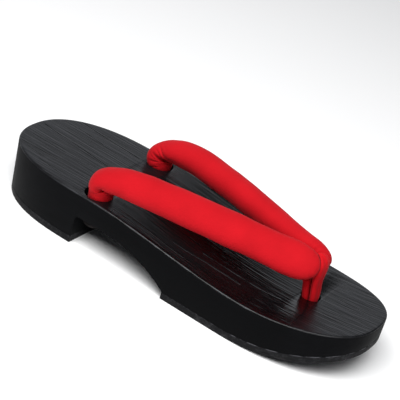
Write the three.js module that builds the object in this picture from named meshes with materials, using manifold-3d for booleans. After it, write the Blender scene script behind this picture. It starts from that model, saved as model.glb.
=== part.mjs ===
// A geta: a wooden board on a heel block, rubber pads underneath, and a padded V strap.
// Millimetres. The toe points along +X, +Z is up, and the rubber pads stand on z = 0.
import * as THREE from 'three';
import { mergeVertices } from 'three/addons/utils/BufferGeometryUtils.js';
import Module from 'manifold-3d';

const wasm = await Module();
wasm.setup();

// Board: plan
const soleLength = 245;
const soleWidth = 83.5;
const heelRound = { length: 62, power: 2.3 };
const toeRound = { length: 75, power: 2.5 };

// Board: side view
const heelHeight = 32.2;
const treadHeight = 24.4;
const toeHeight = 30.6;
const toeCurve = 1.6;
const slopeStart = -50;
const slopeEnd = 60;
const toeLiftStart = 50;
const toeLift = 16;
const heelRake = 3;
const heelRakeStart = -61;
const edgeRadius = 1.1;
const footEase = 0.7;

// Arch between the heel block and the forefoot
const heelFront = -53.6;
const archHeight = 18.3;
const archFlatEnd = -32;
const archCorner = 2.5;
const padRear = 12.1;

// Rubber pads, the gap where two pieces meet, and the larger one between the strap and its loop
const padThickness = 4.2;
const gap = 0.3;
const loopClearance = 0.45;

// How far a cutting solid reaches past the board, and into the next cut
const cutMargin = 20;
const cutOverlap = 0.5;

// Holes for the strap, and the knots under them
const rearHole = { x: -46.9, y: 32.2, radius: 5.2 };
const rearSocket = { x: -48.7, y: 32.1, radius: 7.9, floor: 23.6 };
const frontHole = { x: 80, radius: 5.7 };
const frontRecess = { radius: 9, depth: 5 };
const rearKnot = { x: -47.2, y: 31.8, along: 5.6, across: 6.4, high: 2.9 };
const frontKnot = { along: 7.4, across: 7.4, high: 3.9 };

// Mesh fineness
const endSteps = 16;
const middleSteps = 14;
const ringSides = 20;
const rowSteps = 3;
const arcSteps = 10;
const groundSteps = 24;
const holeSides = 24;
const knotSides = 18;
const knotRings = 10;

// Left arm of the strap, from the cord in its hole to the joint at the front.
// across is half the width; over and under are the thickness above and below the middle line.
// lean lowers the outer edge; heading is the direction of travel seen from above. Both are in degrees.
const armRows = [
  { x: -46.9, y: 32.2, z: 15.5, across: 3.6, over: 3.6, under: 3.6, lean: 0, heading: -7 },
  { x: -46.9, y: 32.2, z: 23.0, across: 4.3, over: 4.3, under: 4.3, lean: 0, heading: -7 },
  { x: -47.9, y: 32.1, z: 28.0, across: 6.2, over: 6.0, under: 5.8, lean: 0, heading: -7 },
  { x: -48.8, y: 32.1, z: 32.4, across: 7.2, over: 6.8, under: 6.6, lean: 0, heading: -7 },
  { x: -49.9, y: 32.1, z: 36.6, across: 8.6, over: 7.0, under: 5.7, lean: 1, heading: -7 },
  { x: -49.4, y: 32.0, z: 39.9, across: 9.5, over: 6.6, under: 4.5, lean: 1, heading: -7 },
  { x: -46.4, y: 32.0, z: 42.8, across: 10.0, over: 6.5, under: 4.9, lean: 1, heading: -7 },
  { x: -41.8, y: 31.8, z: 44.5, across: 10.0, over: 7.1, under: 6.3, lean: 2, heading: -7 },
  { x: -34.1, y: 31.0, z: 46.5, across: 9.9, over: 7.8, under: 7.7, lean: 4, heading: -8 },
  { x: -20.1, y: 28.9, z: 48.0, across: 10.0, over: 8.5, under: 8.4, lean: 11, heading: -11 },
  { x: -3.1, y: 25.6, z: 48.1, across: 10.3, over: 8.5, under: 8.4, lean: 19, heading: -13 },
  { x: 14.9, y: 21.4, z: 47.8, across: 10.4, over: 8.4, under: 8.3, lean: 26, heading: -14 },
  { x: 33.0, y: 16.9, z: 47.2, across: 10.4, over: 7.9, under: 7.8, lean: 31, heading: -15 },
  { x: 50.0, y: 12.6, z: 46.5, across: 10.3, over: 7.4, under: 7.4, lean: 36, heading: -15 },
  { x: 63.0, y: 9.6, z: 46.2, across: 10.5, over: 7.0, under: 7.0, lean: 40, heading: -15 },
  { x: 71.3, y: 8.1, z: 45.7, across: 10.8, over: 6.8, under: 6.8, lean: 42, heading: -20 },
  { x: 76.5, y: 6.1, z: 45.4, across: 9.6, over: 5.9, under: 5.9, lean: 42, heading: -28 },
  { x: 79.2, y: 4.3, z: 45.5, across: 6.2, over: 3.9, under: 3.9, lean: 42, heading: -34 },
  { x: 80.2, y: 3.6, z: 45.4, across: 2.8, over: 1.7, under: 1.7, lean: 42, heading: -36 },
];

// Front strand of the loop: out of the front hole, over the nose of the strap, into the crotch.
const frontStrandRows = [
  { x: 80.8, z: 11.0, across: 3.4, over: 2.2, under: 2.2, heading: 180 },
  { x: 82.0, z: 20.0, across: 4.0, over: 2.3, under: 2.3, heading: 180 },
  { x: 82.4, z: 27.0, across: 4.3, over: 2.3, under: 2.3, heading: 180 },
  { x: 81.6, z: 33.0, across: 4.7, over: 2.3, under: 2.8, heading: 180 },
  { x: 81.8, z: 39.0, across: 5.4, over: 2.2, under: 4.0, heading: 180 },
  { x: 81.9, z: 45.0, across: 6.2, over: 2.2, under: 5.0, heading: 180 },
  { x: 80.6, z: 50.2, across: 6.6, over: 2.3, under: 5.0, heading: 180 },
  { x: 76.6, z: 52.8, across: 6.2, over: 2.3, under: 5.0, heading: 180 },
  { x: 72.0, z: 52.2, across: 4.8, over: 2.0, under: 4.0, heading: 180 },
  { x: 68.4, z: 49.0, across: 2.6, over: 1.5, under: 2.0, heading: 180 },
];

// Back strand of the loop: from under the joint of the arms down into the front hole.
const backStrandRows = [
  { x: 79.4, z: 11.0, across: 3.4, over: 2.2, under: 2.2, heading: 180 },
  { x: 78.0, z: 20.0, across: 4.2, over: 2.3, under: 2.3, heading: 180 },
  { x: 77.7, z: 27.0, across: 4.6, over: 2.3, under: 2.3, heading: 180 },
  { x: 76.4, z: 33.0, across: 5.0, over: 2.4, under: 2.4, heading: 180 },
  { x: 73.4, z: 38.0, across: 5.0, over: 2.4, under: 2.4, heading: 180 },
  { x: 70.4, z: 41.5, across: 3.6, over: 1.8, under: 1.8, heading: 180 },
];

const wood = new THREE.MeshStandardMaterial({ color: 0x1b1b1e, roughness: 0.5, metalness: 0 });
const rubber = new THREE.MeshStandardMaterial({ color: 0x242528, roughness: 0.85, metalness: 0 });
const strapCloth = new THREE.MeshStandardMaterial({ color: 0xd2101c, roughness: 0.9, metalness: 0 });
const loopCloth = new THREE.MeshStandardMaterial({ color: 0xc80e1a, roughness: 0.9, metalness: 0 });

// Closed geometry to a solid, and a solid back to a named mesh.
function solidOf(geometry) {
  const bare = geometry.clone();
  bare.deleteAttribute('normal');
  bare.deleteAttribute('uv');
  const merged = mergeVertices(bare, 1e-4);
  const vertProperties = Float32Array.from(merged.attributes.position.array);
  const triVerts = Uint32Array.from(merged.index.array);
  return new wasm.Manifold(new wasm.Mesh({ numProp: 3, vertProperties, triVerts }));
}

function meshOf(name, solid, material) {
  const shell = solid.getMesh();
  const geometry = new THREE.BufferGeometry();
  geometry.setAttribute('position', new THREE.BufferAttribute(shell.vertProperties, 3));
  geometry.setIndex(new THREE.BufferAttribute(shell.triVerts, 1));
  geometry.computeVertexNormals();
  const mesh = new THREE.Mesh(geometry, material);
  mesh.name = name;
  return mesh;
}

// Side view of the board: its top, and the ground line that the pads follow.
function topAt(x) {
  if (x > slopeEnd) {
    const share = (x - slopeEnd) / (soleLength / 2 - slopeEnd);
    return treadHeight + (toeHeight - treadHeight) * share ** toeCurve;
  }
  const share = THREE.MathUtils.clamp((x - slopeStart) / (slopeEnd - slopeStart), 0, 1);
  return heelHeight + (treadHeight - heelHeight) * (1 - Math.cos(Math.PI * share)) / 2;
}

function groundAt(x) {
  const share = Math.max(0, (x - toeLiftStart) / (soleLength / 2 - toeLiftStart));
  return toeLift * share ** 2;
}

// Plan of the board: one side from the heel's tip to the toe's, as rounded ends and a straight.
function halfPlan() {
  const points = [];
  const halfWidth = soleWidth / 2;
  const heelTip = -soleLength / 2;
  const toeTip = soleLength / 2;
  for (let i = 0; i <= endSteps; i++) {
    const angle = Math.PI / 2 * (i / endSteps);
    const along = Math.cos(angle) ** (2 / heelRound.power);
    const across = Math.sin(angle) ** (2 / heelRound.power);
    points.push(new THREE.Vector2(heelTip + heelRound.length * (1 - along), halfWidth * across));
  }
  const straightStart = heelTip + heelRound.length;
  const straightEnd = toeTip - toeRound.length;
  for (let i = 1; i < middleSteps; i++) {
    const x = straightStart + (straightEnd - straightStart) * i / middleSteps;
    points.push(new THREE.Vector2(x, halfWidth));
  }
  for (let i = endSteps; i >= 0; i--) {
    const angle = Math.PI / 2 * (i / endSteps);
    const along = Math.max(0, Math.cos(angle)) ** (2 / toeRound.power);
    const across = Math.sin(angle) ** (2 / toeRound.power);
    points.push(new THREE.Vector2(toeTip - toeRound.length * (1 - along), halfWidth * across));
  }
  points[0].y = 0;
  points[points.length - 1].y = 0;
  return points;
}

// The half plan moved inwards by an inset, square to its own edge.
function insetPlan(points, inset) {
  return points.map((point, i) => {
    const before = points[Math.max(i - 1, 0)];
    const after = points[Math.min(i + 1, points.length - 1)];
    const tangent = after.clone().sub(before);
    if (i === 0 || i === points.length - 1) tangent.set(0, i === 0 ? 1 : -1);
    tangent.normalize();
    return new THREE.Vector2(point.x + tangent.y * inset, Math.max(0, point.y - tangent.x * inset));
  });
}

// Outer form of board and pads together: rings round the plan, from the ground line to the top.
function soleBlank() {
  const half = halfPlan();
  const last = half.length - 1;
  const rings = [
    { inset: footEase, fromTop: false, offset: 0 },
    { inset: 0, fromTop: false, offset: footEase },
    { inset: 0, fromTop: true, offset: -edgeRadius },
    { inset: edgeRadius * 0.3, fromTop: true, offset: -edgeRadius * 0.3 },
    { inset: edgeRadius, fromTop: true, offset: 0 },
  ];
  const positions = [];
  for (const ring of rings) {
    const side = insetPlan(half, ring.inset).map((point) => {
      const level = ring.fromTop ? topAt(point.x) : groundAt(point.x);
      const z = level + ring.offset;
      const share = (heelRakeStart - point.x) / (heelRakeStart + soleLength / 2);
      const rake = heelRake * Math.max(0, share) ** 2 * (1 - z / heelHeight);
      return new THREE.Vector3(point.x + rake, point.y, z);
    });
    side.forEach((point) => positions.push(point.x, point.y, point.z));
    for (let i = last - 1; i > 0; i--) positions.push(side[i].x, -side[i].y, side[i].z);
  }
  const count = 2 * last;
  const faces = [];
  for (let ring = 0; ring < rings.length - 1; ring++) {
    for (let i = 0; i < count; i++) {
      const a = ring * count + i;
      const b = ring * count + (i + 1) % count;
      faces.push(a, a + count, b, b, a + count, b + count);
    }
  }
  const top = (rings.length - 1) * count;
  for (let i = 0; i < last; i++) {
    const [a, b, c, d] = [i, i + 1, (count - i - 1) % count, (count - i) % count];
    if (b !== c) {
      faces.push(a, b, c);
      faces.push(top + a, top + c, top + b);
    }
    if (a !== d) {
      faces.push(a, c, d);
      faces.push(top + a, top + d, top + c);
    }
  }
  const geometry = new THREE.BufferGeometry();
  geometry.setAttribute('position', new THREE.Float32BufferAttribute(positions, 3));
  geometry.setIndex(faces);
  return solidOf(geometry);
}

// A side view drawn in x and z, pushed straight across the whole width.
function sidePrism(shape) {
  const depth = soleWidth + 2 * cutMargin;
  const options = { depth, bevelEnabled: false, curveSegments: arcSteps };
  const geometry = new THREE.ExtrudeGeometry(shape, options);
  geometry.rotateX(Math.PI / 2);
  geometry.translate(0, depth / 2, 0);
  return solidOf(geometry);
}

// Everything lower than a height above the ground line, between two places along the sole.
function belowGroundLine(fromX, toX, height) {
  const shape = new THREE.Shape();
  shape.moveTo(fromX, -cutMargin);
  shape.lineTo(toX, -cutMargin);
  for (let i = groundSteps; i >= 0; i--) {
    const x = fromX + (toX - fromX) * i / groundSteps;
    shape.lineTo(x, groundAt(x) + height);
  }
  return sidePrism(shape);
}

// The hollow under the waist: upright heel front, flat roof, then one long arc to the pad's end.
function archShape() {
  const padTop = padThickness + gap;
  const run = padRear - archFlatEnd;
  const drop = archHeight - padTop;
  const arcRadius = (run ** 2 + drop ** 2) / (2 * drop);
  const arcStart = Math.asin((arcRadius - drop) / arcRadius);
  const shape = new THREE.Shape();
  shape.moveTo(heelFront, -cutMargin);
  shape.lineTo(padRear, -cutMargin);
  shape.lineTo(padRear, padTop);
  shape.absarc(archFlatEnd, archHeight - arcRadius, arcRadius, arcStart, Math.PI / 2, false);
  shape.lineTo(heelFront + archCorner, archHeight);
  shape.absarc(heelFront + archCorner, archHeight - archCorner, archCorner, Math.PI / 2, Math.PI, false);
  return shape;
}

function uprightCylinder(x, y, radius, low, high) {
  const geometry = new THREE.CylinderGeometry(radius, radius, high - low, holeSides);
  geometry.rotateX(Math.PI / 2);
  geometry.translate(x, y, (low + high) / 2);
  return solidOf(geometry);
}

// Smooth value of one named column at a place between the rows.
function columnAt(rows, column, place) {
  const i = Math.min(Math.floor(place), rows.length - 2);
  const t = place - i;
  const value = (k) => rows[THREE.MathUtils.clamp(k, 0, rows.length - 1)][column] ?? 0;
  const p0 = value(i - 1);
  const p1 = value(i);
  const p2 = value(i + 1);
  const p3 = value(i + 2);
  const bend = 2 * p0 - 5 * p1 + 4 * p2 - p3;
  const swing = 3 * p1 - p0 - 3 * p2 + p3;
  return 0.5 * (2 * p1 + (p2 - p0) * t + bend * t ** 2 + swing * t ** 3);
}

// A padded tube through a table of rows: oval rings, closed by a flat face at each end.
function paddedTube(rows) {
  const rings = (rows.length - 1) * rowSteps;
  const positions = [];
  const placeAt = (place) => new THREE.Vector3(
    columnAt(rows, 'x', place),
    columnAt(rows, 'y', place),
    columnAt(rows, 'z', place),
  );
  for (let ring = 0; ring <= rings; ring++) {
    const place = ring / rowSteps;
    const centre = placeAt(place);
    const behind = placeAt(Math.max(place - 0.1, 0));
    const ahead = placeAt(Math.min(place + 0.1, rows.length - 1));
    const tangent = ahead.sub(behind).normalize();
    const heading = THREE.MathUtils.degToRad(columnAt(rows, 'heading', place));
    const outward = new THREE.Vector3(-Math.sin(heading), Math.cos(heading), 0);
    const upward = tangent.clone().cross(outward).normalize();
    outward.copy(upward).cross(tangent).normalize();
    const lean = THREE.MathUtils.degToRad(columnAt(rows, 'lean', place));
    const wide = outward.clone().multiplyScalar(Math.cos(lean)).addScaledVector(upward, -Math.sin(lean));
    const thick = outward.clone().multiplyScalar(Math.sin(lean)).addScaledVector(upward, Math.cos(lean));
    for (let i = 0; i < ringSides; i++) {
      const angle = 2 * Math.PI * i / ringSides;
      const half = columnAt(rows, Math.sin(angle) > 0 ? 'over' : 'under', place);
      const point = centre.clone();
      point.addScaledVector(wide, Math.cos(angle) * columnAt(rows, 'across', place));
      point.addScaledVector(thick, Math.sin(angle) * half);
      positions.push(point.x, point.y, point.z);
    }
  }
  const faces = [];
  for (let ring = 0; ring < rings; ring++) {
    for (let i = 0; i < ringSides; i++) {
      const a = ring * ringSides + i;
      const b = ring * ringSides + (i + 1) % ringSides;
      faces.push(a, b, a + ringSides, b, b + ringSides, a + ringSides);
    }
  }
  const end = rings * ringSides;
  for (let i = 1; i < ringSides - 1; i++) {
    faces.push(0, i + 1, i);
    faces.push(end, end + i, end + i + 1);
  }
  const geometry = new THREE.BufferGeometry();
  geometry.setAttribute('position', new THREE.Float32BufferAttribute(positions, 3));
  geometry.setIndex(faces);
  return geometry;
}

// A closed form with every point moved out, square to its surface.
function grown(geometry, distance) {
  const copy = geometry.clone();
  copy.computeVertexNormals();
  const position = copy.attributes.position;
  const normal = copy.attributes.normal;
  for (let i = 0; i < position.count; i++) {
    const point = new THREE.Vector3().fromBufferAttribute(position, i);
    const outward = new THREE.Vector3().fromBufferAttribute(normal, i);
    point.addScaledVector(outward, distance);
    position.setXYZ(i, point.x, point.y, point.z);
  }
  return copy;
}

// The same geometry on the other side of the middle line, with its faces still pointing out.
function mirrored(geometry) {
  const copy = geometry.clone();
  copy.scale(1, -1, 1);
  const index = copy.index.array;
  for (let i = 0; i < index.length; i += 3) [index[i], index[i + 1]] = [index[i + 1], index[i]];
  return copy;
}

function knot(size, x, y, z) {
  const geometry = new THREE.SphereGeometry(1, knotSides, knotRings);
  geometry.rotateX(Math.PI / 2);
  geometry.scale(size.along, size.across, size.high);
  geometry.translate(x, y, z);
  return geometry;
}

// Board and pads
function makeSole() {
  const blank = soleBlank();
  const beyond = soleLength / 2 + cutMargin;
  const above = heelHeight + cutMargin;
  const padTop = padThickness + gap;
  const recessTop = groundAt(frontHole.x) + padTop + frontRecess.depth;
  const recess = uprightCylinder(frontHole.x, 0, frontRecess.radius, -cutMargin, recessTop);
  const heelPad = blank.intersect(belowGroundLine(-beyond, heelFront, padThickness));
  const forefootPad = blank.intersect(belowGroundLine(padRear, beyond, padThickness)).subtract(recess);
  let board = blank.subtract(belowGroundLine(-beyond, heelFront, padTop));
  board = board.subtract(belowGroundLine(padRear - cutOverlap, beyond, padTop));
  board = board.subtract(sidePrism(archShape()));
  for (const side of [1, -1]) {
    const { x, y, radius, floor } = rearSocket;
    board = board.subtract(uprightCylinder(rearHole.x, side * rearHole.y, rearHole.radius, 0, above));
    board = board.subtract(uprightCylinder(x, side * y, radius, floor, above));
  }
  board = board.subtract(uprightCylinder(frontHole.x, 0, frontHole.radius, 0, above));
  board = board.subtract(recess);
  return { board, heelPad, forefootPad, recessTop };
}

// The V strap: two mirrored arms joined at the front, each knotted under its rear hole
function makeStrap() {
  const arm = paddedTube(armRows);
  const knotTop = archHeight - gap;
  const tie = knot(rearKnot, rearKnot.x, rearKnot.y, knotTop - rearKnot.high);
  const left = solidOf(arm).add(solidOf(tie));
  const right = solidOf(mirrored(arm)).add(solidOf(mirrored(tie)));
  return left.add(right);
}

// The loop round the joint of the strap, with its knot in the recess under the front hole
function makeLoop(recessTop) {
  const front = solidOf(paddedTube(frontStrandRows));
  const back = solidOf(paddedTube(backStrandRows));
  const tie = solidOf(knot(frontKnot, frontHole.x, 0, recessTop - gap - frontKnot.high));
  const arm = grown(paddedTube(armRows), loopClearance);
  const arms = solidOf(arm).add(solidOf(mirrored(arm)));
  return front.add(back).add(tie).subtract(arms);
}

const sole = makeSole();
const group = new THREE.Group();
group.add(meshOf('wood_base', sole.board, wood));
group.add(meshOf('forefoot_rubber', sole.forefootPad, rubber));
group.add(meshOf('heel_rubber', sole.heelPad, rubber.clone()));
group.add(meshOf('v_strap', makeStrap(), strapCloth));
group.add(meshOf('front_loop', makeLoop(sole.recessTop), loopCloth));

export default group;
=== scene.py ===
# A geta sandal: black stained wood on rubber pads, with a padded red strap and its front loop.
# Metres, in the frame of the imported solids: the toe points along +X and the pads stand on z = 0.
import math

import bpy
import numpy as np
from mathutils import Matrix, Vector, noise
from mathutils.bvhtree import BVHTree


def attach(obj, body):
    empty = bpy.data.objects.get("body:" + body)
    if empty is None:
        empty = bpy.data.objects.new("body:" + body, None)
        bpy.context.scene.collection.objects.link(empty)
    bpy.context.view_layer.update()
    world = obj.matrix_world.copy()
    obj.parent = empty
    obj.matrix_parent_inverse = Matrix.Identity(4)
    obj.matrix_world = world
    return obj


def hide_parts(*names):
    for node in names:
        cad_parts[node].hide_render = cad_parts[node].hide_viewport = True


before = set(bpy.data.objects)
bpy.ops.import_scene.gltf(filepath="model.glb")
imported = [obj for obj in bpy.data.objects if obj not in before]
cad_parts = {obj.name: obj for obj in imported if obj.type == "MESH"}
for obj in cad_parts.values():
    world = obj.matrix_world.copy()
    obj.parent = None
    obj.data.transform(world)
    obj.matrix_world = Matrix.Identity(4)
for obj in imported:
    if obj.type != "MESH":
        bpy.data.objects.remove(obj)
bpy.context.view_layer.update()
scene = bpy.context.scene
scene.view_settings.view_transform = "Standard"


# Camera. Its direction, roll, distance and lens were fitted to the sandal's outline in the
# photo, which is taken as 400 by 400 with the optical axis through its middle.
def make_camera():
    azimuth = math.radians(25.3794)
    elevation = math.radians(28.523)
    roll = math.radians(17.2062)
    aim = Vector((-0.0160436, 0.0301656, 0.0250522))
    distance = 0.8261181
    photo_width = 400
    focal_pixels = 1392.43
    sensor_width = 36
    back = Vector((math.sin(azimuth), -math.cos(azimuth), math.tan(elevation))).normalized()
    level = (-back).cross(Vector((0, 0, 1))).normalized()
    upright = back.cross(level)
    right = level * math.cos(roll) + upright * math.sin(roll)
    up = upright * math.cos(roll) - level * math.sin(roll)
    data = bpy.data.cameras.new("camera")
    data.sensor_fit = "HORIZONTAL"
    data.sensor_width = sensor_width
    data.lens = focal_pixels * sensor_width / photo_width
    data.clip_start = 0.01
    camera = bpy.data.objects.new("camera", data)
    scene.collection.objects.link(camera)
    camera.matrix_world = Matrix((right, up, back)).transposed().to_4x4()
    camera.location = aim + back * distance
    return camera


scene.camera = make_camera()


# Room: a pale floor inside a surround that is bright only low down behind the heel, and one wide
# soft light high on the viewer's side. The bright part gives the top of the wood its sheen, and
# leaves the sides dark.
def set_inputs(tree, node, inputs):
    for name, value in inputs.items():
        if isinstance(value, bpy.types.NodeSocket):
            tree.links.new(value, node.inputs[name])
        else:
            node.inputs[name].default_value = value


def add_node(tree, kind, inputs=(), **settings):
    node = tree.nodes.new(kind)
    for name, value in settings.items():
        setattr(node, name, value)
    set_inputs(tree, node, dict(inputs))
    return node


def math_node(tree, operation, first, second=0.0, third=0.0):
    inputs = {0: first, 1: second, 2: third}
    return add_node(tree, "ShaderNodeMath", inputs, operation=operation).outputs[0]


# A value that goes from start to end while the given one goes from low to high.
def ramp(tree, value, low, high, start=0.0, end=1.0, shape="LINEAR"):
    inputs = {"Value": value, "From Min": low, "From Max": high, "To Min": start, "To Max": end}
    return add_node(tree, "ShaderNodeMapRange", inputs, interpolation_type=shape).outputs[0]


def new_material(name):
    material = bpy.data.materials.new(name)
    material.use_nodes = True
    tree = material.node_tree
    return material, tree, tree.nodes["Principled BSDF"]


def add_object(name, vertices, faces):
    mesh = bpy.data.meshes.new(name)
    mesh.from_pydata([tuple(v) for v in vertices], [], faces)
    mesh.validate()
    obj = bpy.data.objects.new(name, mesh)
    scene.collection.objects.link(obj)
    return obj


def make_surround():
    world = bpy.data.worlds.new("pale_room")
    world.use_nodes = True
    tree = world.node_tree
    bright_side = (-0.60, 0.62, -0.50)
    ray = add_node(tree, "ShaderNodeTexCoord").outputs["Generated"]
    facing = add_node(tree, "ShaderNodeVectorMath", {0: ray, 1: bright_side}, operation="DOT_PRODUCT")
    level = ramp(tree, facing.outputs["Value"], 0.38, 0.53, start=0.09, end=1.0, shape="SMOOTHSTEP")
    seen = add_node(tree, "ShaderNodeLightPath").outputs["Is Camera Ray"]
    shown = math_node(tree, "MAXIMUM", level, seen)
    set_inputs(tree, tree.nodes["Background"], {"Strength": shown, "Color": (0.91, 0.94, 1, 1)})
    scene.world = world


def make_floor():
    half = 6
    corners = [(-half, -half, 0), (half, -half, 0), (half, half, 0), (-half, half, 0)]
    floor = add_object("floor", corners, [(0, 1, 2, 3)])
    paint, tree, shader = new_material("pale_floor")
    looks = {"Base Color": (0.98, 0.98, 0.98, 1), "Roughness": 0.9, "Specular IOR Level": 0.1}
    set_inputs(tree, shader, looks)
    floor.data.materials.append(paint)


def make_softbox():
    lamp = bpy.data.lights.new("softbox", "AREA")
    lamp.shape = "RECTANGLE"
    lamp.size = 1.4
    lamp.size_y = 1.0
    lamp.energy = 31
    softbox = bpy.data.objects.new("softbox", lamp)
    scene.collection.objects.link(softbox)
    place = Vector((0.10, -0.65, 1.20))
    softbox.location = place
    softbox.rotation_euler = (-place).to_track_quat("-Z", "Y").to_euler()


make_surround()
make_floor()
make_softbox()

# Wooden board: one block of softwood, sawn to an oval plan with a rounder heel than toe. Seen
# from the side its top falls from the heel to the tread and rises at the toe, and an arch is cut
# across underneath. It is scorched or stained black and brushed, so that the grain stands out.
HALF_LENGTH = 0.1225
HALF_WIDTH = 0.04175
HEEL_HEIGHT = 0.0322
TREAD_HEIGHT = 0.0244
PAD_TOP = 0.0045
ARCH_TOP = 0.0183
RIM_RADIUS = 0.0011
EDGE_EASE = 0.0003
HEEL_FACE = -0.0536
ARCH_FRONT = 0.0121
REAR_HOLE_X = -0.0469
REAR_HOLE_Y = 0.0322
HOLE_X = 0.080
RECESS_RADIUS = 0.009
RECESS_DEPTH = 0.005

# Limits for the cutting forms: past both ends of the board, under the floor and over the heel.
PAST_END = 0.14
UNDER = -0.01
OVER = 0.04


def smooth_shaded(obj, crease_degrees):
    obj.data.polygons.foreach_set("use_smooth", [True] * len(obj.data.polygons))
    obj.data.set_sharp_from_angle(angle=math.radians(crease_degrees))


def baked(obj):
    graph = bpy.context.evaluated_depsgraph_get()
    mesh = bpy.data.meshes.new_from_object(obj.evaluated_get(graph))
    obj.modifiers.clear()
    obj.data = mesh


# The top's height: a smooth slope from the heel down to the tread, and a slight rise at the toe.
def top_at(x):
    slope_start = -0.050
    slope_length = 0.110
    toe_start = 0.060
    toe_rise = 0.0062
    if x > toe_start:
        return TREAD_HEIGHT + toe_rise * ((x - toe_start) / (HALF_LENGTH - toe_start)) ** 1.6
    share = min(max((x - slope_start) / slope_length, 0), 1)
    return HEEL_HEIGHT + (TREAD_HEIGHT - HEEL_HEIGHT) * (1 - math.cos(math.pi * share)) / 2


# The ground line's height: level as far as the ball of the foot, then curving up to the toe.
def ground_at(x):
    lift_start = 0.050
    toe_lift = 0.016
    return toe_lift * max(0, (x - lift_start) / (HALF_LENGTH - lift_start)) ** 2


# Half of the plan's outline from heel to toe, moved inwards by the inset. The two ends are
# slightly squared ovals, and the side between them is straight.
def plan_side(inset):
    heel_length = 0.062
    heel_power = 2 / 2.3
    toe_length = 0.075
    toe_power = 2 / 2.5
    quarter = [math.pi / 2 * i / 48 for i in range(49)]
    side = []
    for angle in quarter:
        along = math.cos(angle) ** heel_power
        across = HALF_WIDTH * math.sin(angle) ** heel_power
        side.append((-HALF_LENGTH + heel_length * (1 - along), across))
    for x in np.linspace(-HALF_LENGTH + heel_length, HALF_LENGTH - toe_length, 42)[1:-1]:
        side.append((x, HALF_WIDTH))
    for angle in reversed(quarter):
        along = math.cos(angle) ** toe_power
        across = HALF_WIDTH * math.sin(angle) ** toe_power
        side.append((HALF_LENGTH - toe_length * (1 - along), across))
    side = np.array(side)
    step = np.gradient(side, axis=0)
    step[0] = (0, 1)
    step[-1] = (0, -1)
    step /= np.linalg.norm(step, axis=1)[:, None]
    moved = side + inset * np.stack([step[:, 1], -step[:, 0]], axis=1)
    moved[[0, -1], 1] = 0
    return moved


# One closed form from rings round the plan; each ring has an inset and a height, from the top
# or else from the ground line. The heel's end leans in towards the floor. The two caps are
# strips straight across.
def sole_form(name, rings):
    heel_start = 0.061
    heel_lean = 0.003
    vertices = []
    for inset, from_top, offset in rings:
        ring = []
        for x, y in plan_side(inset):
            z = (top_at(x) if from_top else ground_at(x)) + offset
            share = max(0, (-heel_start - x) / (HALF_LENGTH - heel_start))
            ring.append((x + heel_lean * share**2 * (1 - z / HEEL_HEIGHT), y, z))
        vertices += ring + [(x, -y, z) for x, y, z in ring[-2:0:-1]]
    count = len(vertices) // len(rings)
    faces = []
    for start in range(0, count * (len(rings) - 1), count):
        for i in range(count):
            j = (i + 1) % count
            faces.append((start + i, start + i + count, start + j + count, start + j))
    top = count * (len(rings) - 1)
    for i in range(count // 2):
        strip = [i, i + 1, (count - i - 1) % count, (count - i) % count]
        strip = list(dict.fromkeys(strip))
        faces.append(tuple(strip))
        faces.append(tuple(top + k for k in reversed(strip)))
    return add_object(name, vertices, faces)


# Cutting forms: a side view pushed straight across, and a round bar for the holes.
def side_cutter(outline):
    reach = 0.06
    count = len(outline)
    vertices = [(x, y, z) for y in (-reach, reach) for x, z in outline]
    faces = [tuple(range(count)), tuple(reversed(range(count, 2 * count)))]
    for i in range(count):
        j = (i + 1) % count
        faces.append((i, i + count, j + count, j))
    return add_object("cutter", vertices, faces)


def hole_cutter(x, y, radius, low, high):
    sides = 64
    vertices = []
    for z in (low, high):
        for i in range(sides):
            angle = 2 * math.pi * i / sides
            vertices.append((x + radius * math.cos(angle), y + radius * math.sin(angle), z))
    faces = [tuple(reversed(range(sides))), tuple(range(sides, 2 * sides))]
    for i in range(sides):
        j = (i + 1) % sides
        faces.append((i, j, j + sides, i + sides))
    return add_object("cutter", vertices, faces)


def carve(obj, cutters):
    for cutter in cutters:
        cut = obj.modifiers.new("cut", "BOOLEAN")
        cut.operation = "DIFFERENCE"
        cut.solver = "EXACT"
        cut.object = cutter
    baked(obj)
    for cutter in cutters:
        bpy.data.objects.remove(cutter)
    bevel = obj.modifiers.new("ease", "BEVEL")
    bevel.width = EDGE_EASE
    bevel.segments = 2
    bevel.limit_method = "ANGLE"
    bevel.angle_limit = math.radians(38)
    baked(obj)


# The arch's side view: a shallow arc, then a small round corner down to the heel block.
def arch_outline():
    crown = -0.0320
    half_span = 0.0441
    rise = ARCH_TOP - PAD_TOP
    radius = (half_span**2 + rise**2) / (2 * rise)
    corner = 0.0025
    outline = [(HEEL_FACE, UNDER), (ARCH_FRONT, UNDER)]
    for x in np.linspace(ARCH_FRONT, crown, 29):
        outline.append((x, ARCH_TOP - radius + math.sqrt(radius**2 - (x - crown) ** 2)))
    for angle in np.linspace(math.pi / 2, math.pi, 9):
        x = HEEL_FACE + corner + corner * math.cos(angle)
        outline.append((x, ARCH_TOP - corner + corner * math.sin(angle)))
    return outline


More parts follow.
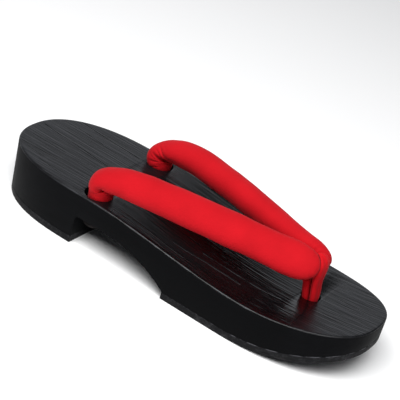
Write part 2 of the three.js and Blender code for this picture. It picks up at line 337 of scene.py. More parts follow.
# What is cut from the board: the arch, the seats of the two pads, two rear holes with a wide
# socket over each, and the front hole with the recess for its knot.
def board_cutters():
    seat_start = 0.0116
    rear_radius = 0.0052
    socket_x = -0.0487
    socket_y = 0.0317
    socket_radius = 0.0079
    socket_floor = 0.0236
    front_radius = 0.0057
    seat = [(x, ground_at(x) + PAD_TOP) for x in np.linspace(seat_start, PAST_END, 60)]
    heel_seat = [(-PAST_END, UNDER), (HEEL_FACE, UNDER), (HEEL_FACE, PAD_TOP), (-PAST_END, PAD_TOP)]
    cutters = [side_cutter(arch_outline()), side_cutter(heel_seat)]
    cutters.append(side_cutter([(seat_start, UNDER), (PAST_END, UNDER), *reversed(seat)]))
    for side in (1, -1):
        cutters.append(hole_cutter(REAR_HOLE_X, REAR_HOLE_Y * side, rear_radius, 0, 0.03))
        cutters.append(hole_cutter(socket_x, socket_y * side, socket_radius, socket_floor, OVER))
    cutters.append(hole_cutter(HOLE_X, 0, front_radius, 0, OVER))
    cutters.append(hole_cutter(HOLE_X, 0, RECESS_RADIUS, 0, RECESS_TOP))
    return cutters


def keep_values(obj, name, values):
    layer = obj.data.attributes.new(name, "FLOAT", "POINT")
    layer.data.foreach_set("value", values)


# How close each point lies to the middle of the rounded rim, kept as an attribute for the rim's
# pale line: partly wear and partly a painted highlight. It is marked along the tread only, not
# round the heel and toe.
def mark_rim_wear_and_highlight(obj):
    wear_and_highlight_span = (-0.078, -0.060, 0.068, 0.082)
    wear_and_highlight_width = 0.00040
    outline = plan_side(0)
    crest = RIM_RADIUS * (1 - math.sqrt(0.5))
    values = []
    for vertex in obj.data.vertices:
        x, y, z = vertex.co
        inset = np.hypot(outline[:, 0] - x, outline[:, 1] - abs(y)).min()
        gap = math.hypot(inset - crest, top_at(x) - z - crest)
        along = np.interp(x, wear_and_highlight_span, (0, 1, 1, 0))
        values.append(along * math.exp(-((gap / wear_and_highlight_width) ** 2)))
    keep_values(obj, "rim", values)


RECESS_TOP = ground_at(HOLE_X) + PAD_TOP + RECESS_DEPTH

# The board's rings go up from the underside's edge, round the rim and in to the flat top.
rim = [(0, True, -RIM_RADIUS)]
for angle in np.linspace(0.26, 1.57, 6):
    rim.append((RIM_RADIUS * (1 - math.cos(angle)), True, RIM_RADIUS * (math.sin(angle) - 1)))
lower = [(0.0007, False, 0), (0, False, 0.0007), (0, True, -0.0060), (0, True, -0.0026)]
board = sole_form("board", [*lower, *rim, (0.0024, True, 0)])
carve(board, board_cutters())
smooth_shaded(board, 40)
mark_rim_wear_and_highlight(board)

# Long open grooves in the heel's grain and dark streaks along the tread, in millimetres. The
# columns are start x and y, end x and y, half width, and depth from 0 to 1.
MM = 0.001
GROOVES = [
    (-118, 4.0, -85, 0.8, 0.45, 0.9),
    (-85, 0.8, -67, -0.9, 0.45, 0.9),
    (-67, -0.9, -40, 0.6, 0.35, 0.6),
    (-114, -11.2, -90, -11.4, 0.35, 0.8),
    (-90, -11.4, -72, -10.0, 0.25, 0.4),
    (-113, -23.1, -86, -22.4, 0.40, 0.8),
    (-109, 28.0, -84, 25.7, 0.40, 0.8),
    (-84, 25.7, -60, 24.0, 0.45, 0.9),
    (-107, 2.1, -89, 4.2, 0.30, 0.5),
    (-115, 17.7, -103, 20.6, 0.30, 0.6),
    (-103, 20.6, -82, 17.2, 0.35, 0.7),
    (-106, -26.0, -89, -28.0, 0.30, 0.5),
    (-93, -31.8, -75, -33.2, 0.30, 0.6),
    (-36, -37.0, 4, -38.6, 0.50, 0.9),
    (-30, -33.5, 20, -35.0, 0.45, 0.6),
    (4, -28.0, 48, -25.0, 0.80, 0.9),
    (20, -20.5, 70, -17.0, 0.70, 0.8),
    (-10, 8.0, 40, 5.5, 0.50, 0.7),
    (88, -12.0, 108, -11.0, 0.30, 0.4),
    (92, 9.0, 112, 8.0, 0.30, 0.4),
]


# One straight groove: its mask is the depth on the line from start to end, and fades to 0 over
# the width.
def make_groove_group():
    group = bpy.data.node_groups.new("long_groove", "ShaderNodeTree")
    for name in ("Place", "Start", "End"):
        group.interface.new_socket(name, in_out="INPUT", socket_type="NodeSocketVector")
    for name in ("Width", "Depth"):
        group.interface.new_socket(name, in_out="INPUT", socket_type="NodeSocketFloat")
    group.interface.new_socket("Mask", in_out="OUTPUT", socket_type="NodeSocketFloat")
    given = group.nodes.new("NodeGroupInput").outputs

    def vector_node(operation, first, second, output=0):
        node = add_node(group, "ShaderNodeVectorMath", {0: first, 1: second}, operation=operation)
        return node.outputs[output]

    line = vector_node("SUBTRACT", given["End"], given["Start"])
    away = vector_node("SUBTRACT", given["Place"], given["Start"])
    reach = vector_node("DOT_PRODUCT", away, line, "Value")
    length = vector_node("DOT_PRODUCT", line, line, "Value")
    passed = math_node(group, "DIVIDE", reach, length)
    share = add_node(group, "ShaderNodeClamp", {"Value": passed}).outputs[0]
    foot = add_node(group, "ShaderNodeVectorMath", {0: line, "Scale": share}, operation="SCALE").outputs[0]
    gap = vector_node("DISTANCE", away, foot, "Value")
    mask = ramp(group, gap, 0.0, given["Width"], start=given["Depth"], end=0.0, shape="SMOOTHSTEP")
    set_inputs(group, group.nodes.new("NodeGroupOutput"), {"Mask": mask})
    return group


def noise_node(tree, place, scale, detail):
    inputs = {"Vector": place, "Scale": scale, "Detail": detail}
    return add_node(tree, "ShaderNodeTexNoise", inputs).outputs["Fac"]


# Brushed grain: fine fibres and wavy growth lines along the board, shallower in the worn middle
# than at the heel and toe, and the long grooves. Groove, Cloud and Middle drive the gloss; Middle
# also sets where the top's colour is darkened as painted shade under the strap, and the last
# output is the rim's pale line, partly wear and partly a painted highlight.
def make_grain():
    group = bpy.data.node_groups.new("brushed_grain", "ShaderNodeTree")
    for name in ("Height", "Groove", "Cloud", "Middle", "RimWearAndHighlight"):
        group.interface.new_socket(name, in_out="OUTPUT", socket_type="NodeSocketFloat")
    place = add_node(group, "ShaderNodeTexCoord").outputs["Object"]

    def streaks(source, scale, detail):
        spread = add_node(group, "ShaderNodeMapping", {"Vector": source, "Scale": scale}).outputs[0]
        return noise_node(group, spread, 1, detail)

    shift = math_node(group, "MULTIPLY", streaks(place, (9, 22, 22), 1), 0.006)
    push = add_node(group, "ShaderNodeCombineXYZ", {"Y": shift}).outputs[0]
    warped = add_node(group, "ShaderNodeVectorMath", {0: place, 1: push}).outputs[0]
    fibre = streaks(warped, (45, 1000, 400), 3)
    growth = streaks(warped, (14, 420, 260), 2)
    cloud = streaks(place, (30, 30, 30), 3)
    parts = add_node(group, "ShaderNodeSeparateXYZ", {"Vector": place}).outputs
    rise = ramp(group, parts["X"], -0.050, -0.020, shape="SMOOTHSTEP")
    fall = ramp(group, parts["X"], 0.096, 0.078, shape="SMOOTHSTEP")
    middle = math_node(group, "MULTIPLY", rise, fall)
    flat = add_node(group, "ShaderNodeCombineXYZ", {"X": parts["X"], "Y": parts["Y"]}).outputs[0]
    sway = math_node(group, "MULTIPLY_ADD", streaks(place, (30, 60, 60), 1), 0.003, -0.0015)
    bend = add_node(group, "ShaderNodeCombineXYZ", {"Y": sway}).outputs[0]
    wavy = add_node(group, "ShaderNodeVectorMath", {0: flat, 1: bend}).outputs[0]
    groove = 0.0
    for x0, y0, x1, y1, half, depth in GROOVES:
        inputs = {
            "Place": wavy,
            "Start": (x0 * MM, y0 * MM, 0),
            "End": (x1 * MM, y1 * MM, 0),
            "Width": half * MM,
            "Depth": depth,
        }
        mask = add_node(group, "ShaderNodeGroup", inputs, node_tree=long_groove).outputs[0]
        groove = math_node(group, "MAXIMUM", mask, groove)
    broken = ramp(group, streaks(place, (70, 260, 100), 2), 0.30, 0.50)
    groove = math_node(group, "MULTIPLY", groove, broken)
    lines = math_node(group, "MULTIPLY_ADD", growth, 0.6, math_node(group, "MULTIPLY", fibre, 0.5))
    deep = math_node(group, "MULTIPLY_ADD", middle, -0.17, 0.45)
    relief = math_node(group, "MULTIPLY", lines, deep)
    sunk = math_node(group, "MULTIPLY", groove, math_node(group, "MULTIPLY_ADD", middle, -0.65, 0.80))
    height = math_node(group, "SUBTRACT", relief, sunk)
    # The rim's pale line, broken by chips: partly wear and partly a painted highlight.
    rim_near = add_node(group, "ShaderNodeAttribute", attribute_name="rim").outputs["Fac"]
    chips = ramp(group, streaks(place, (170, 260, 260), 3), 0.40, 0.62)
    rim_wear_and_highlight = math_node(group, "MULTIPLY", rim_near, chips)
    results = {"Height": height, "Groove": groove, "Cloud": cloud, "Middle": middle, "RimWearAndHighlight": rim_wear_and_highlight}
    set_inputs(group, group.nodes.new("NodeGroupOutput"), results)
    return group


long_groove = make_groove_group()
grain = make_grain()


def mixed(tree, factor, first, second):
    inputs = {"Factor": factor, "A": first, "B": second}
    return add_node(tree, "ShaderNodeMix", inputs, data_type="RGBA").outputs["Result"]


def bumped(tree, height, strength, distance):
    inputs = {"Height": height, "Strength": strength, "Distance": distance}
    return add_node(tree, "ShaderNodeBump", inputs).outputs[0]


def wood_material(name, colour, dark, heel_gloss, middle_gloss, specular, relief, rim_wear_and_highlight_colour):
    material, tree, shader = new_material(name)
    pattern = add_node(tree, "ShaderNodeGroup", node_tree=grain).outputs
    tint = ramp(tree, pattern["Height"], 0.12, 0.36)
    # In the middle of the top, under the strap, the grain's pale tint is cut back: painted shade.
    outer = math_node(tree, "MULTIPLY_ADD", pattern["Middle"], -0.7, 1.0)
    tint_under_painted_shade = math_node(tree, "MULTIPLY", tint, outer)
    stained = mixed(tree, tint_under_painted_shade, (*dark, 1), (*colour, 1))
    gloss = ramp(tree, pattern["Middle"], 0.0, 1.0, start=heel_gloss, end=middle_gloss)
    uneven = math_node(tree, "MULTIPLY_ADD", pattern["Cloud"], 0.16, -0.08)
    filled = math_node(tree, "MULTIPLY_ADD", pattern["Groove"], 0.5, uneven)
    # On the rim the colour turns paler: partly wear and partly a painted highlight.
    looks = {
        "Base Color": mixed(tree, pattern["RimWearAndHighlight"], stained, (*rim_wear_and_highlight_colour, 1)),
        "Roughness": math_node(tree, "ADD", gloss, filled),
        "Specular IOR Level": specular,
        "Normal": bumped(tree, pattern["Height"], 1.0, relief),
    }
    set_inputs(tree, shader, looks)
    return material


# Each wood's last colour is for the rim's pale line: partly wear, partly a painted highlight.
board.data.materials.append(
    wood_material(
        "stained_wood_top",
        colour=(0.0110, 0.0114, 0.0135),
        dark=(0.0012, 0.0012, 0.0014),
        heel_gloss=0.36,
        middle_gloss=0.19,
        specular=0.22,
        relief=0.0010,
        rim_wear_and_highlight_colour=(0.035, 0.037, 0.041),
    )
)
board.data.materials.append(
    wood_material(
        "stained_wood_side",
        colour=(0.0042, 0.0044, 0.0052),
        dark=(0.0026, 0.0027, 0.0031),
        heel_gloss=0.55,
        middle_gloss=0.55,
        specular=0.03,
        relief=0.00016,
        rim_wear_and_highlight_colour=(0.045, 0.047, 0.051),
    )
)

# The brushed top has the first material, and the sides, holes and underside have the second.
LOWEST_TOP = 0.0235
for face in board.data.polygons:
    on_top = face.normal.z > 0.35 and face.center.z > LOWEST_TOP
    face.material_index = 0 if on_top else 1
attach(board, "root")
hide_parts("wood_base")

# Rubber pads: thin sole rubber glued under the heel block and under the forefoot, where it
# follows the ground line up to the toe. It is matt and black with a fine pale speckle.
PAD_RINGS = [
    (0.0007, False, 0),
    (0.0002, False, 0.0002),
    (0, False, 0.0007),
    (0, False, 0.0037),
    (0, False, 0.0042),
]
RECESS_CUT_TOP = 0.02
heel_pad = sole_form("heel_pad", PAD_RINGS)
before_heel = [(HEEL_FACE, UNDER), (PAST_END, UNDER), (PAST_END, OVER), (HEEL_FACE, OVER)]
carve(heel_pad, [side_cutter(before_heel)])
toe_pad = sole_form("forefoot_pad", PAD_RINGS)
behind_forefoot = [(-PAST_END, UNDER), (ARCH_FRONT, UNDER), (ARCH_FRONT, OVER), (-PAST_END, OVER)]
recess = hole_cutter(HOLE_X, 0, RECESS_RADIUS, UNDER, RECESS_CUT_TOP)
carve(toe_pad, [side_cutter(behind_forefoot), recess])


def make_rubber():
    material, tree, shader = new_material("sole_rubber")
    place = add_node(tree, "ShaderNodeTexCoord").outputs["Object"]
    speckle = noise_node(tree, place, 900, 2)
    scuff = noise_node(tree, place, 160, 3)
    both = math_node(tree, "MULTIPLY_ADD", scuff, 0.5, math_node(tree, "MULTIPLY", speckle, 0.5))
    tint = ramp(tree, both, 0.48, 0.68)
    black = mixed(tree, tint, (0.006, 0.006, 0.007, 1), (0.028, 0.028, 0.030, 1))
    # Pale flecks along the toe's seam.
    seam = add_node(tree, "ShaderNodeAttribute", attribute_name="seam").outputs["Fac"]
    flecks = ramp(tree, noise_node(tree, place, 210, 3), 0.50, 0.62)
    seam_flecks = math_node(tree, "MULTIPLY", seam, flecks)
    looks = {
        "Base Color": mixed(tree, seam_flecks, black, (0.09, 0.09, 0.10, 1)),
        "Roughness": 0.7,
        "Specular IOR Level": 0.12,
        "Normal": bumped(tree, speckle, 0.6, 0.0002),
    }
    set_inputs(tree, shader, looks)
    return material


# The pads' top edge, where pale flecks show along the toe's seam.
def mark_seam(obj):
    seam_height = 0.00385
    flecks_from_to = (0.02, 0.06)
    values = []
    for vertex in obj.data.vertices:
        near = vertex.co.z - ground_at(vertex.co.x) > seam_height
        values.append(float(np.interp(vertex.co.x, flecks_from_to, (0, 1))) if near else 0.0)
    keep_values(obj, "seam", values)


rubber = make_rubber()
for pad, node in ((heel_pad, "heel_rubber"), (toe_pad, "forefoot_rubber")):
    smooth_shaded(pad, 40)
    mark_seam(pad)
    pad.data.materials.append(rubber)
    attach(pad, "root")
    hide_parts(node)

# Strap: the upper, two arms of red cloth sewn over soft filling. Each rises gathered from its
# hole, bends forward over the foot and meets the other at the front, where they press together.

# One row for each section, from the hole to the joint: half width, thickness over and under in
# millimetres, lean and heading in degrees. The paths give its x, distance to the side, and z.
ARM_SECTIONS = [
    (3.6, 3.6, 3.6, 0, -7),
    (4.2, 4.2, 4.2, 0, -7),
    (6.6, 6.2, 6.2, 0, -7),
    (8.0, 6.8, 7.6, 0.5, -7),
    (8.9, 6.9, 8.4, 1.3, -7),
    (9.7, 6.5, 6.2, 1.4, -7),
    (10.0, 6.5, 5.3, 0.4, -7),
    (10.0, 7.1, 6.3, 1.9, -7),
    (9.9, 7.8, 7.7, 4.3, -8),
    (10.0, 8.5, 8.4, 10.7, -11),
    (10.3, 8.5, 8.4, 19.1, -13),
    (10.4, 8.4, 8.3, 25.9, -14),
    (10.5, 7.9, 7.8, 31.4, -15),
    (10.2, 7.4, 7.4, 36.2, -15),
    (10.6, 7.0, 7.0, 40.3, -15),
    (10.1, 6.5, 6.5, 42.6, -20),
    (8.4, 5.5, 5.5, 42.8, -28),
    (6.0, 4.1, 4.1, 42, -34),
    (2.9, 2.0, 2.0, 42, -36),
]
NEAR_PATH = [
    (-46.9, 32.2, 19.0),
    (-46.9, 32.0, 23.5),
    (-47.4, 31.4, 28.2),
    (-47.5, 30.9, 32.4),
    (-47.9, 30.6, 36.6),
    (-48.4, 31.2, 40.0),
    (-46.4, 31.9, 43.1),
    (-41.9, 31.7, 44.8),
    (-34.1, 30.9, 46.7),
    (-20.1, 28.9, 48.2),
    (-3.1, 25.7, 48.5),
    (14.9, 21.4, 48.1),
    (33.0, 16.9, 47.4),
    (50.0, 12.7, 46.4),
    (63.1, 9.7, 46.1),
    (71.2, 8.0, 46.2),
    (76.0, 6.0, 46.9),
    (78.6, 4.6, 47.5),
    (79.8, 3.7, 47.7),
]
FAR_PATH = [
    (-46.9, 32.2, 19.0),
    (-47.2, 32.0, 23.5),
    (-48.3, 31.9, 29.4),
    (-49.2, 31.6, 33.4),
    (-50.4, 31.0, 36.4),
    (-49.9, 31.2, 39.3),
    (-46.4, 32.0, 42.4),
    (-41.7, 31.8, 44.2),
    (-34.1, 31.1, 46.4),
    (-20.2, 28.8, 47.9),
    (-3.2, 25.5, 47.7),
    (14.9, 21.4, 47.5),
    (32.9, 16.8, 46.9),
    (50.0, 12.5, 46.5),
    (63.0, 9.6, 46.2),
    (71.0, 8.0, 46.4),
    (75.5, 6.2, 47.1),
    (77.9, 4.7, 47.7),
    (79.1, 3.7, 48.0),
]
ARM_STEPS = 12
ARM_SIDES = 72

# Creases of the gathered rear ends, which fan out from the inside of the bend. The columns are
# the row and the angle round the tube where one starts and ends, its width and depth in mm.
FAR_FOLDS = [
    (5.6, 130, 7.0, 205, 0.9, 1.0),
    (7.0, 205, 8.0, 216, 1.0, 0.6),
    (5.9, 112, 7.1, 165, 0.8, 0.35),
    (5.3, 146, 6.1, 225, 0.8, 0.7),
    (4.9, 158, 5.3, 246, 0.9, 1.0),
    (4.7, 138, 4.6, 215, 0.7, 0.6),
    (4.1, 172, 4.2, 235, 0.7, 0.7),
    (3.8, 205, 3.3, 273, 0.8, 1.0),
    (3.3, 170, 3.2, 235, 0.7, 0.5),
]
NEAR_FOLDS = [
    (7.0, 352, 5.6, 285, 0.9, 1.0),
    (6.4, 18, 4.9, 325, 1.2, 0.45),
    (5.4, 40, 4.3, 350, 1.2, 0.35),
    (3.9, 318, 3.2, 266, 0.9, 0.7),
    (3.1, 60, 3.3, 350, 0.9, 0.4),
]


# A row of a table at any place between its rows, blended smoothly.
def column_at(rows, place):
    i = min(int(place), len(rows) - 2)
    t = place - i
    p0, p1, p2, p3 = (rows[min(max(k, 0), len(rows) - 1)] for k in range(i - 1, i + 3))
    bend = 2 * p0 - 5 * p1 + 4 * p2 - p3
    swing = 3 * p1 - p0 - 3 * p2 + p3
    return 0.5 * (2 * p1 + (p2 - p0) * t + bend * t**2 + swing * t**3)


# A padded tube in millimetres: rows of x, y, z, half width, thickness over and under, lean and
# heading become rings of points, with the way out of the tube and the length so far.
def tube_rings(rows, steps, sides):
    nearby = 0.1
    rows = np.array(rows, float)
    places = np.linspace(0, len(rows) - 1, (len(rows) - 1) * steps + 1)
    angles = np.linspace(0, 2 * math.pi, sides, endpoint=False)
    points = np.zeros((len(places), sides, 3))
    outward = np.zeros_like(points)
    for k, place in enumerate(places):
        row = column_at(rows, place)
        half_width, over, under, lean, heading = row[3:]
        ahead = column_at(rows, min(place + nearby, len(rows) - 1))[:3]
        tangent = ahead - column_at(rows, max(place - nearby, 0))[:3]
        tangent /= np.linalg.norm(tangent)
        turn = math.radians(heading)
        side = np.array([-math.sin(turn), math.cos(turn), 0])
        above = np.cross(tangent, side)
        above /= np.linalg.norm(above)
        side = np.cross(above, tangent)
        tilt = math.radians(lean)
        wide = side * math.cos(tilt) - above * math.sin(tilt)
        thick = side * math.sin(tilt) + above * math.cos(tilt)
        half = np.where(np.sin(angles) > 0, over, under)
        reach = np.outer(np.cos(angles) * half_width, wide) + np.outer(np.sin(angles) * half, thick)
        points[k] = row[:3] + reach
        outward[k] = reach / np.linalg.norm(reach, axis=1)[:, None]
    middles = points.mean(axis=1)
    lengths = np.linalg.norm(np.diff(middles, axis=0), axis=1)
    return places, angles, points, outward, np.concatenate([[0], np.cumsum(lengths)])


def tube_faces(rings, sides, start, flip):
    faces = []
    for k in range(rings - 1):
        for i in range(sides):
            a = start + k * sides + i
            b = start + k * sides + (i + 1) % sides
            faces.append((a, b, b + sides, a + sides))
    faces.append(tuple(start + i for i in reversed(range(sides))))
    faces.append(tuple(start + (rings - 1) * sides + i for i in range(sides)))
    return [tuple(reversed(f)) for f in faces] if flip else faces


# The cloth's own map in metres: round the tube, and along it by its true length.
def cloth_map(obj, sides, lengths, girth):
    layer = obj.data.uv_layers.new(name="cloth")
    for face in obj.data.polygons:
        spots = [divmod(k, sides) for k in face.vertices]
        wraps = {0, sides - 1} <= {side for ring, side in spots}
        for corner, (ring, side) in zip(face.loop_indices, spots):
            turn = sides if wraps and side == 0 else side
            layer.data[corner].uv = (turn * girth / sides, lengths[ring])


# How deep the creases are at each point of a tube. A row is taken to be 4.2 mm long and a degree
# round the tube 0.14 mm. A crease is shallower at its ends, and fades sideways over its width.
def crease_depth(folds, places, angles):
    row_length = 4.2
    degree_length = 0.14
    full_turn = 360 * degree_length
    along = places[:, None] * row_length
    around = np.degrees(angles)[None, :] * degree_length
    spots = np.stack(np.broadcast_arrays(along, around), axis=-1)
    depth = np.zeros(spots.shape[:2])
    for row0, angle0, row1, angle1, width, deep in folds:
        start = np.array([row0 * row_length, angle0 * degree_length])
        line = np.array([row1 * row_length, angle1 * degree_length]) - start
        away = spots - start
        middle = line[1] / 2
        away[..., 1] = (away[..., 1] - middle + full_turn / 2) % full_turn - full_turn / 2 + middle
        share = np.clip((away @ line) / (line @ line), 0, 1)
        gap = np.linalg.norm(away - share[..., None] * line, axis=-1)
        ends = 0.35 + 0.65 * np.sin(math.pi * share)
        depth = np.maximum(depth, deep * ends * np.exp(-np.sqrt((gap / width) ** 2 + 0.04) + 0.2))
    return depth


# One arm with its soft lumps, which begin above the hole, and its creases. A soft stop keeps it
# on its own side of the middle line, where the two arms press each other flat.
def arm_points(path, folds, seed):
    lump_scale = 0.075
    lump_height = 0.35
    lumps_start = 2.5
    stop = 0.05
    softness = 0.8
    rows = [(*spot, *section) for spot, section in zip(path, ARM_SECTIONS)]
    places, angles, points, outward, lengths = tube_rings(rows, ARM_STEPS, ARM_SIDES)
    lumps = np.zeros(points.shape[:2])
    for k in range(len(places)):
        for i in range(ARM_SIDES):
            spot = Vector(points[k, i]) * lump_scale + Vector((seed, 0, 0))
            lumps[k, i] = noise.noise(spot) * lump_height
    fade = np.clip((places - lumps_start) / 2, 0, 1)[:, None]
    moved = lumps * fade - crease_depth(folds, places, angles)
    points += outward * moved[:, :, None]
    slack = points[:, :, 1] - stop
    points[:, :, 1] = stop + (slack + np.sqrt(slack**2 + softness)) / 2
    return points.reshape(-1, 3) * MM, lengths * MM


far_arm, far_lengths = arm_points(FAR_PATH, FAR_FOLDS, 3.0)
near_arm, near_lengths = arm_points(NEAR_PATH, NEAR_FOLDS, 11.0)
near_arm *= (1, -1, 1)
arm_rings = len(far_lengths)
strap_faces = tube_faces(arm_rings, ARM_SIDES, 0, False)
strap_faces += tube_faces(arm_rings, ARM_SIDES, len(far_arm), True)
strap = add_object("strap", np.vstack([far_arm, near_arm]), strap_faces)
cloth_map(strap, ARM_SIDES, [*far_lengths, *near_lengths], girth=0.056)
smooth_shaded(strap, 60)


# Cloth: a plain weave with a soft nap and slight blotches, used on the strap and the loop.
def make_weave():
    group = bpy.data.node_groups.new("cloth_weave", "ShaderNodeTree")
    for name in ("Height", "Blotch"):
        group.interface.new_socket(name, in_out="OUTPUT", socket_type="NodeSocketFloat")
    threads = add_node(group, "ShaderNodeUVMap", uv_map="cloth").outputs[0]
    bands = []
    for direction in ("X", "Y"):
        inputs = {"Vector": threads, "Scale": 640, "Distortion": 0.6, "Detail": 1}
        bands.append(add_node(group, "ShaderNodeTexWave", inputs, bands_direction=direction).outputs["Fac"])
    crossed = math_node(group, "ADD", bands[0], bands[1])
    place = add_node(group, "ShaderNodeTexCoord").outputs["Object"]
    nap = noise_node(group, place, 1400, 2)
    height = math_node(group, "MULTIPLY_ADD", crossed, 0.3, nap)
    blotch = noise_node(group, place, 55, 4)
    set_inputs(group, group.nodes.new("NodeGroupOutput"), {"Height": height, "Blotch": blotch})
    return group


def cloth_material(name, light, deep):
    material, tree, shader = new_material(name)
    pattern = add_node(tree, "ShaderNodeGroup", node_tree=weave).outputs
    tint = ramp(tree, pattern["Blotch"], 0.3, 0.7)
    looks = {
        "Base Color": mixed(tree, tint, (*deep, 1), (*light, 1)),
        "Roughness": 0.85,
        "Specular IOR Level": 0.10,
        "Sheen Weight": 0.08,
        "Sheen Roughness": 0.4,
        "Sheen Tint": (1.0, 0.45, 0.5, 1),
        "Normal": bumped(tree, pattern["Height"], 0.35, 0.00015),
    }
    set_inputs(tree, shader, looks)
    return material


weave = make_weave()
strap.data.materials.append(cloth_material("strap_cloth", (0.52, 0.006, 0.012), (0.45, 0.005, 0.010)))
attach(strap, "root")
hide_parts("v_strap")

# Front loop: a flat band of the same cloth. One strand comes out of the front hole and tucks in
# between the ends of the arms; the other runs from under the joint down into the same hole.

# The columns are those of the arms' paths and sections together.
FRONT_STRAND = [
    (80.9, 0, 14.0, 1.6, 1.4, 1.4, 0, 180),
    (81.8, 0, 20.0, 2.6, 1.7, 1.7, 0, 180),
    (82.2, 0, 25.0, 4.2, 2.3, 2.3, 0, 180),
    (81.7, 0, 29.5, 4.8, 2.4, 2.4, 0, 180),
    (81.0, 0, 34.0, 4.8, 2.3, 2.6, 0, 180),
    (81.0, 0, 38.5, 4.9, 2.2, 3.4, 0, 180),
    (81.3, 0, 43.5, 5.2, 2.1, 4.2, 0, 180),
    (80.8, 0, 47.8, 5.0, 2.0, 4.2, 0, 180),
    (78.5, 0, 50.4, 4.2, 1.8, 3.6, 0, 180),
    (75.7, 0, 50.3, 3.0, 1.4, 2.6, 0, 180),
]
BACK_STRAND = [
    (79.4, 0, 14.0, 1.6, 1.4, 1.4, 0, 180),
    (78.0, 0, 20.0, 2.6, 1.7, 1.7, 0, 180),
    (77.4, 0, 25.0, 4.0, 2.3, 2.3, 0, 180),
    (76.4, 0, 29.5, 4.7, 2.4, 2.4, 0, 180),
    (75.5, 0, 33.5, 4.8, 2.4, 2.4, 0, 180),
    (73.2, 0, 38.0, 4.6, 2.4, 2.4, 0, 180),
    (70.4, 0, 41.5, 3.4, 1.8, 1.8, 0, 180),
]
STRAND_STEPS = 10
STRAND_SIDES = 48
CLEARANCE = 0.0003


# One strand, with pleats along it: each has its angle round the strand, width and depth.
def strand_points(rows, pleats):
    _, angles, points, outward, lengths = tube_rings(rows, STRAND_STEPS, STRAND_SIDES)
    groove = np.zeros(points.shape[:2])
    for middle, width, deep in pleats:
        turn = (np.degrees(angles) - middle + 180) % 360 - 180
        groove += deep * np.exp(-((turn / width) ** 2))
    points -= outward * groove[:, :, None]
    return points.reshape(-1, 3) * MM, lengths * MM


# Where a strand would lie inside the strap, it is moved out to just above the strap's surface.
def pressed_out(points, tree):
    moved = points.copy()
    for k, point in enumerate(points):
        spot, normal, _, distance = tree.find_nearest(Vector(point))
        inside = (Vector(point) - spot).dot(normal) < 0
        if inside or distance < CLEARANCE:
            moved[k] = spot + normal * CLEARANCE
    return moved


strap_tree = BVHTree.FromPolygons([v.co for v in strap.data.vertices], strap_faces)
front, front_lengths = strand_points(FRONT_STRAND, [(70, 14, 0.45), (118, 12, 0.35)])
back, back_lengths = strand_points(BACK_STRAND, [(80, 16, 0.35)])
front = pressed_out(front, strap_tree)
back = pressed_out(back, strap_tree)
faces = tube_faces(len(front_lengths), STRAND_SIDES, 0, False)
faces += tube_faces(len(back_lengths), STRAND_SIDES, len(front), False)
loop = add_object("loop", np.vstack([front, back]), faces)
cloth_map(loop, STRAND_SIDES, [*front_lengths, *back_lengths], girth=0.022)
smooth_shaded(loop, 60)
# The loop is the strap's cloth, but its colours are paler than the strap's: painted light, against the
# shade under the arms' joint where it lies.
loop.data.materials.append(cloth_material("loop_cloth", (0.60, 0.006, 0.012), (0.52, 0.005, 0.010)))
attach(loop, "root")
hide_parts("front_loop")
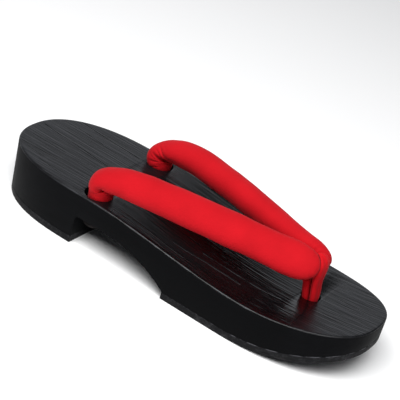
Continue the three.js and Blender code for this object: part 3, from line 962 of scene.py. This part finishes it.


# Knots: under the board each strap end runs on as a cord, wound and drawn tight into a flat
# lump that can't pass the hole. The cord's near-black colour is painted shade, as dark as the
# shade under the arch. A Geometry Nodes tree sweeps the cord along its turns.
def make_wound_cord():
    tree = bpy.data.node_groups.new("wound_cord", "GeometryNodeTree")
    tree.interface.new_socket("Geometry", in_out="OUTPUT", socket_type="NodeSocketGeometry")
    for name in ("Turns", "Outer Radius", "Inner Radius", "Height", "Cord Radius"):
        tree.interface.new_socket(name, in_out="INPUT", socket_type="NodeSocketFloat")
    for name in ("Place", "Stub End"):
        tree.interface.new_socket(name, in_out="INPUT", socket_type="NodeSocketVector")
    tree.interface.new_socket("Material", in_out="INPUT", socket_type="NodeSocketMaterial")
    given = tree.nodes.new("NodeGroupInput").outputs
    turns = {
        "Resolution": 40,
        "Rotations": given["Turns"],
        "Start Radius": given["Outer Radius"],
        "End Radius": given["Inner Radius"],
        "Height": given["Height"],
    }
    wound = add_node(tree, "GeometryNodeCurveSpiral", turns).outputs[0]
    shift = {"Geometry": wound, "Translation": given["Place"]}
    moved = add_node(tree, "GeometryNodeTransform", shift).outputs[0]
    ends = {"Start": given["Place"], "End": given["Stub End"]}
    stub = add_node(tree, "GeometryNodeCurvePrimitiveLine", ends).outputs[0]
    paths = tree.nodes.new("GeometryNodeJoinGeometry")
    tree.links.new(moved, paths.inputs[0])
    tree.links.new(stub, paths.inputs[0])
    circle = {"Resolution": 16, "Radius": given["Cord Radius"]}
    section = add_node(tree, "GeometryNodeCurvePrimitiveCircle", circle).outputs[0]
    sweep = {"Curve": paths.outputs[0], "Profile Curve": section, "Fill Caps": True}
    swept = add_node(tree, "GeometryNodeCurveToMesh", sweep).outputs[0]
    real = add_node(tree, "GeometryNodeRealizeInstances", {"Geometry": swept}).outputs[0]
    coat = {"Geometry": real, "Material": given["Material"]}
    coated = add_node(tree, "GeometryNodeSetMaterial", coat).outputs[0]
    set_inputs(tree, tree.nodes.new("NodeGroupOutput"), {"Geometry": coated})
    return tree


def make_cord_material():
    material, tree, shader = new_material("dark_cord")
    place = add_node(tree, "ShaderNodeTexCoord").outputs["Object"]
    fuzz = noise_node(tree, place, 1100, 3)
    tint = ramp(tree, fuzz, 0.35, 0.65)
    looks = {
        # Near black: painted shade, as dark as the shade under the arch.
        "Base Color": mixed(tree, tint, (0.006, 0.005, 0.005, 1), (0.020, 0.016, 0.016, 1)),
        "Roughness": 0.8,
        "Specular IOR Level": 0.15,
        "Normal": bumped(tree, fuzz, 0.6, 0.0002),
    }
    set_inputs(tree, shader, looks)
    return material


def make_knot(place, stub_end, outer, height, cord):
    inner = outer * 0.45
    knot = add_object("knot", [], [])
    modifier = knot.modifiers.new("wound", "NODES")
    modifier.node_group = wound_cord
    values = {
        "Turns": 2.6,
        "Outer Radius": outer,
        "Inner Radius": inner,
        "Height": height,
        "Cord Radius": cord,
        "Place": place,
        "Stub End": stub_end,
        "Material": cord_material,
    }
    for socket in wound_cord.interface.items_tree:
        if socket.in_out == "INPUT":
            modifier[socket.identifier] = values[socket.name]
    baked(knot)
    return knot


wound_cord = make_wound_cord()
cord_material = make_cord_material()
knots = []
for side in (1, -1):
    place = (-0.0472, 0.0318 * side, 0.0143)
    stub_end = (REAR_HOLE_X, REAR_HOLE_Y * side, 0.0200)
    knots.append(make_knot(place, stub_end, outer=0.0044, height=0.0022, cord=0.0016))
place = (HOLE_X, 0, RECESS_TOP - 0.0052)
stub_end = (HOLE_X, 0, 0.0160)
knots.append(make_knot(place, stub_end, outer=0.0056, height=0.0030, cord=0.0019))
vertices = []
faces = []
for knot in knots:
    start = len(vertices)
    vertices += [v.co.copy() for v in knot.data.vertices]
    faces += [tuple(start + k for k in face.vertices) for face in knot.data.polygons]
    bpy.data.objects.remove(knot)
ties = add_object("knots", vertices, faces)
ties.data.materials.append(cord_material)
smooth_shaded(ties, 60)
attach(ties, "root")
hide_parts("v_strap", "front_loop")
